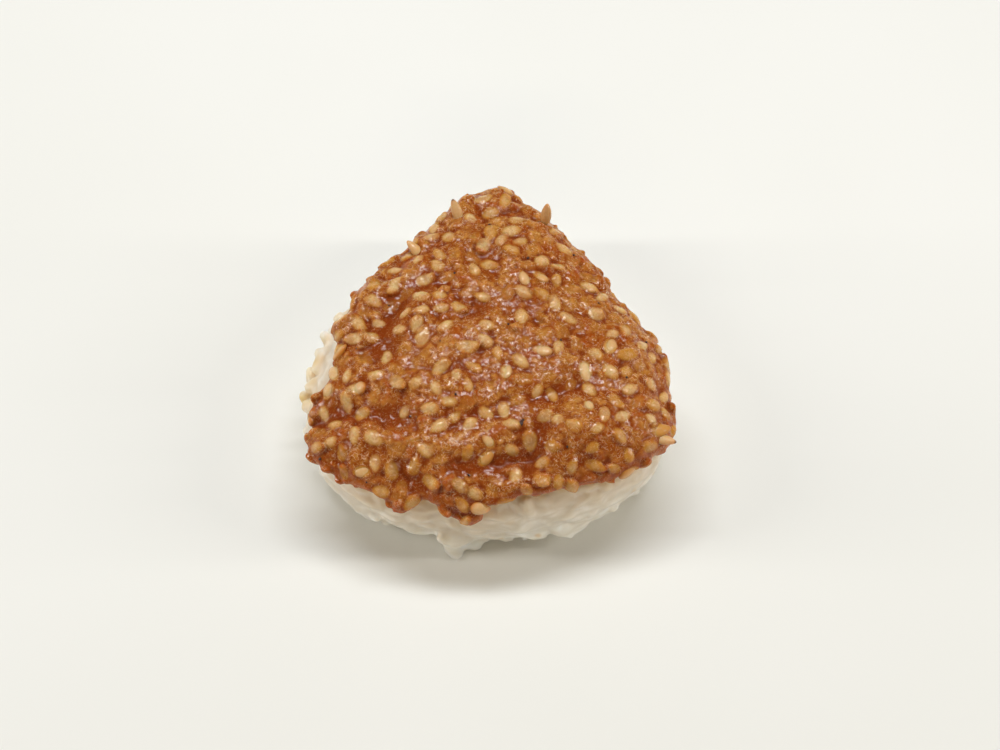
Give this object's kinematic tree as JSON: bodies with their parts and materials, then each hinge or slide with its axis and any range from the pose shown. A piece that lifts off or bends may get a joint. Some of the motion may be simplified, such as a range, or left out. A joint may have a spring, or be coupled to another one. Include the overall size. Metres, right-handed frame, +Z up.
{
  "type": "rice ball with sesame miso",
  "caption": "Small rounded-triangle rice ball lying flat, pressed from white rice, its top spread with thick glossy sesame miso paste that hangs a little way down the sides.",
  "frame": {"origin": "on the surface that the rice ball rests on, under the middle of its box", "axes": "+Z up, +Y towards the ball's point, +X to the right when its straight side faces the viewer"},
  "size_m": [0.065, 0.0666, 0.026],
  "materials": {
    "rice": "moist, translucent white cooked rice",
    "sesame_miso": "wet, glossy red-brown paste full of toasted sesame"
  },
  "bodies": {
    "root": {"rice": "rice", "sesame_miso": "sesame_miso"}
  },
  "joints": []
}
